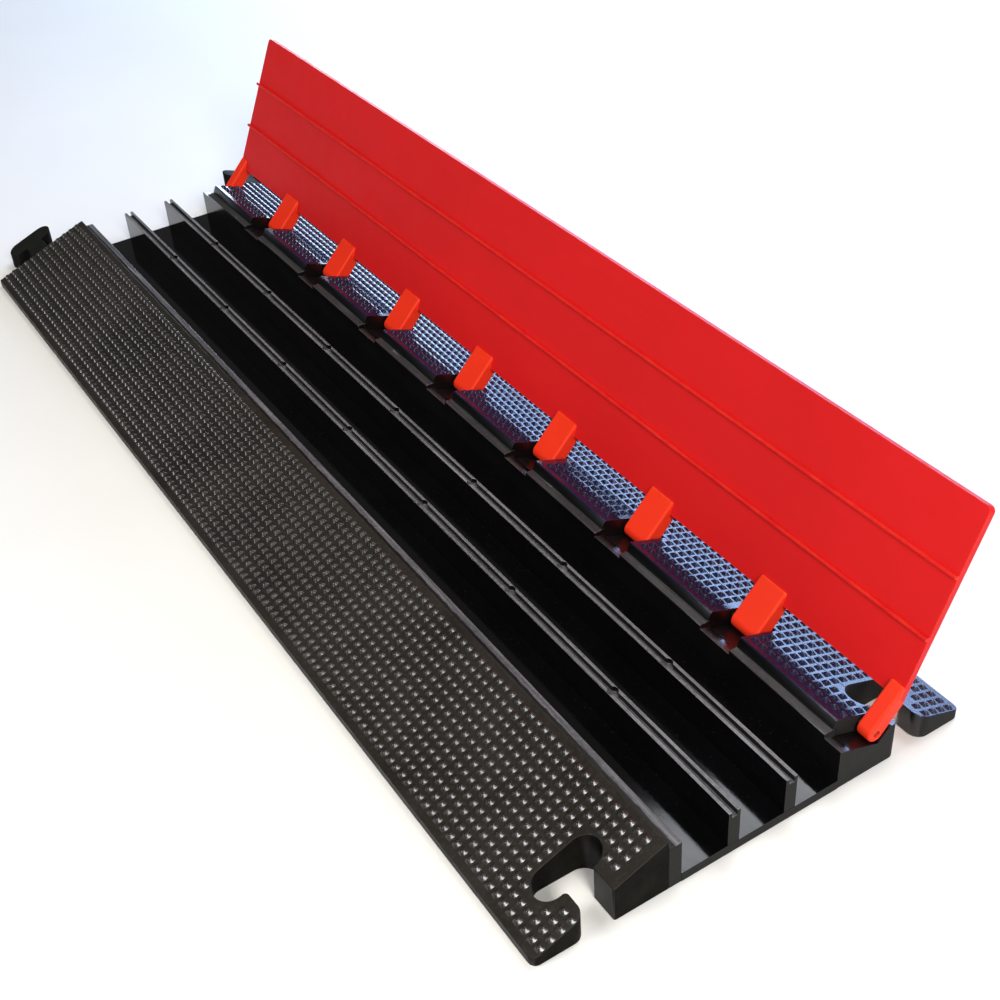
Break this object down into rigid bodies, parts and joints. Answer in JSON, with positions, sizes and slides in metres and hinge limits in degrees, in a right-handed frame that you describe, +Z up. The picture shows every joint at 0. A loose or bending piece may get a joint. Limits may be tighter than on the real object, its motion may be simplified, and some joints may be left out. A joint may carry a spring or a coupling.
{
  "type": "cable protector ramp",
  "caption": "Floor cable protector ramp with parallel cable channels between studded slopes, a hinged lid on a steel rod, and tongue-and-socket ends that link modules.",
  "frame": {"origin": "bottom centre of the bounding box of the whole part, with the lid open", "axes": "+X along the ramp towards the end with the sockets, +Y towards the hinge side, +Z up"},
  "size_m": [0.953, 0.3138, 0.1631],
  "materials": {
    "tread_rubber": "satin, studded",
    "rear_tread_rubber": "satin, studded",
    "connector_rubber": "satin",
    "ledge_rubber": "smooth satin",
    "channel_rubber": "smooth, slightly glossy",
    "lid_plastic": "satin",
    "finger_plastic": "satin",
    "rod_steel": "zinc plated"
  },
  "bodies": {
    "base": {"front_ramp": "tread_rubber", "front_ledge": "ledge_rubber", "channel_floor": "channel_rubber", "front_divider": "channel_rubber", "rear_divider": "channel_rubber", "rear_ledge": "ledge_rubber", "rear_ramp": "rear_tread_rubber", "front_tongue": "connector_rubber", "rear_tongue": "connector_rubber", "hinge_rod": "rod_steel", "hinge_block_1": "rear_tread_rubber", "hinge_block_2": "rear_tread_rubber", "hinge_block_3": "rear_tread_rubber", "hinge_block_4": "rear_tread_rubber", "hinge_block_5": "rear_tread_rubber", "hinge_block_6": "rear_tread_rubber", "hinge_block_7": "rear_tread_rubber", "hinge_block_8": "rear_tread_rubber"},
    "lid": {"lid_panel": "lid_plastic", "front_lid_rib": "lid_plastic", "rear_lid_rib": "lid_plastic", "hinge_finger_1": "finger_plastic", "hinge_finger_2": "finger_plastic", "hinge_finger_3": "finger_plastic", "hinge_finger_4": "finger_plastic", "hinge_finger_5": "finger_plastic", "hinge_finger_6": "finger_plastic", "hinge_finger_7": "finger_plastic", "hinge_finger_8": "finger_plastic", "hinge_finger_9": "finger_plastic"}
  },
  "joints": [
    {"name": "lid_hinge", "type": "hinge", "parent": "base", "child": "lid", "pos_m": [0, 0.08509, 0.027], "axis": [1, 0, 0], "range_deg": [0, 113.6]}
  ]
}
